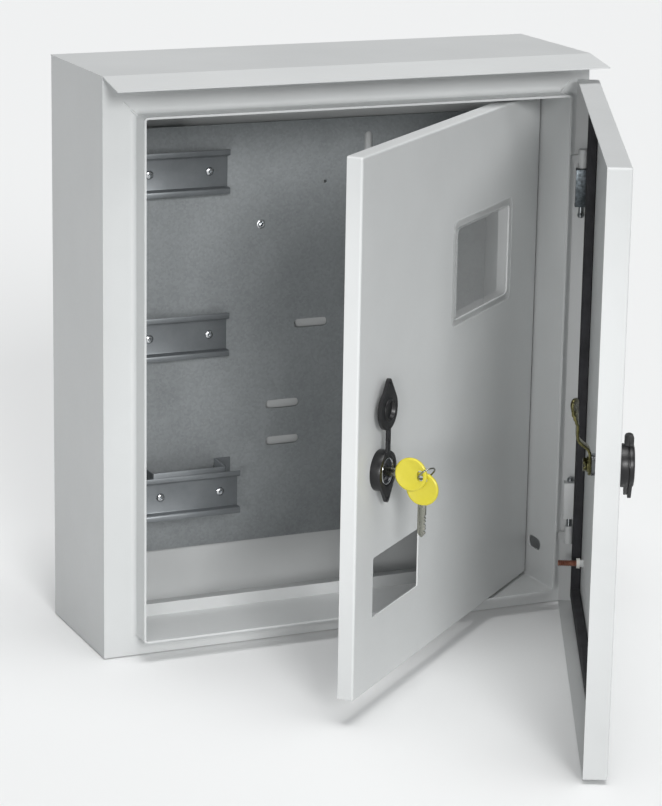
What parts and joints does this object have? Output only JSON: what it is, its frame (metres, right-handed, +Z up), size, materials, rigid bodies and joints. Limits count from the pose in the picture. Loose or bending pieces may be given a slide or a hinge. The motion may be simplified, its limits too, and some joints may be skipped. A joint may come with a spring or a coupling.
{
  "type": "electric meter box",
  "caption": "Wall-mounted sheet-steel meter cabinet with a rain visor, a sealed outer door, a windowed inner door, key locks with dust caps, and rails on a mounting plate.",
  "frame": {"origin": "centre of the wall-fixing holes on the back face", "axes": "+X to the hinge side, +Y into the wall, +Z up"},
  "size_m": [0.4009, 0.4788, 0.445],
  "materials": {
    "grey_paint": "light grey powder coat",
    "galvanised": "galvanised sheet with a soft spangle",
    "zinc": "bright zinc plate",
    "rivet_bright": "bright aluminium",
    "lock_chrome": "polished chrome",
    "lock_plug": "dark plated die casting",
    "yellow_zinc": "yellow passivated zinc",
    "black_rubber": "satin black rubber",
    "black_foam": "matt black foam",
    "clear_pane": "clear moulded plastic",
    "key_steel": "nickel-plated steel",
    "key_yellow": "yellow moulded plastic",
    "copper": "copper-plated stud",
    "white_plastic": "white nylon"
  },
  "bodies": {
    "cabinet": {"body_wrap": "grey_paint", "floor_panel": "grey_paint", "roof_panel": "grey_paint", "front_border": "grey_paint", "door_collar": "grey_paint", "inner_door_pivots": "zinc", "plate_studs": "zinc", "plate_nuts": "zinc", "mounting_plate": "galvanised", "top_rail": "galvanised", "middle_rail": "galvanised", "lower_rail": "galvanised", "rail_rivets": "rivet_bright", "rail_bracket": "galvanised", "upper_hinge_knuckle": "grey_paint", "lower_hinge_knuckle": "grey_paint"},
    "outer_door_set": {"outer_door": "grey_paint", "door_gasket": "black_foam", "upper_hinge_leaf": "zinc", "lower_hinge_leaf": "zinc", "upper_hinge_pin": "zinc", "lower_hinge_pin": "zinc", "outer_lock_body": "lock_chrome", "outer_lock_nut": "zinc", "outer_lock_collar": "black_rubber", "earth_stud": "copper", "earth_washer": "white_plastic"},
    "outer_lock_core": {"outer_lock_plug": "lock_plug", "outer_lock_cam": "yellow_zinc", "outer_cam_bolt": "yellow_zinc"},
    "outer_cap": {"outer_lock_cap": "black_rubber"},
    "inner_door_set": {"inner_door": "grey_paint", "window_pane": "clear_pane", "inner_lock_body": "lock_chrome", "inner_lock_nut": "zinc", "inner_lock_collar": "black_rubber"},
    "inner_lock_core": {"inner_lock_plug": "lock_plug", "inner_lock_cam": "yellow_zinc", "inner_cam_bolt": "yellow_zinc", "door_key": "key_steel", "door_key_head": "key_yellow"},
    "inner_cap": {"inner_lock_cap": "black_rubber"},
    "spare_key_set": {"key_ring": "key_steel", "spare_key": "key_steel", "spare_key_head": "key_yellow"}
  },
  "joints": [
    {"name": "outer_door_swing", "type": "hinge", "parent": "cabinet", "child": "outer_door_set", "pos_m": [0.1892, -0.131, 0], "axis": [0, 0, 1], "range_deg": [-64.5, 45.5], "deforming": ["door_gasket"]},
    {"name": "inner_door_swing", "type": "hinge", "parent": "cabinet", "child": "inner_door_set", "pos_m": [0.165, -0.089, 0], "axis": [0, 0, 1], "range_deg": [-41.5, 29.5]},
    {"name": "outer_lock_turn", "type": "hinge", "parent": "outer_door_set", "child": "outer_lock_core", "pos_m": [0.05396, -0.44009, -0.00075], "axis": [-0.9026, 0.4305, 0], "range_deg": [-90, 0]},
    {"name": "outer_cap_flip", "type": "hinge", "parent": "outer_door_set", "child": "outer_cap", "pos_m": [0.06132, -0.4436, 0.02175], "axis": [-0.4305, -0.9026, 0], "range_deg": [0, 170]},
    {"name": "inner_lock_turn", "type": "hinge", "parent": "inner_door_set", "child": "inner_lock_core", "pos_m": [-0.05534, -0.29195, -0.033], "axis": [-0.6626, 0.749, 0], "range_deg": [-90, 0]},
    {"name": "inner_cap_flip", "type": "hinge", "parent": "inner_door_set", "child": "inner_cap", "pos_m": [-0.04994, -0.29805, -0.0105], "axis": [0.749, 0.6626, 0], "range_deg": [0, 80]},
    {"name": "spare_key_swing", "type": "hinge", "parent": "inner_lock_core", "child": "spare_key_set", "pos_m": [-0.03354, -0.31659, -0.0354], "axis": [-0.749, -0.6626, 0], "range_deg": [-12, 12]}
  ],
  "couplings": [
    {"joint": "inner_door_swing", "follows": "outer_door_swing", "ratio": 0.64341}
  ]
}
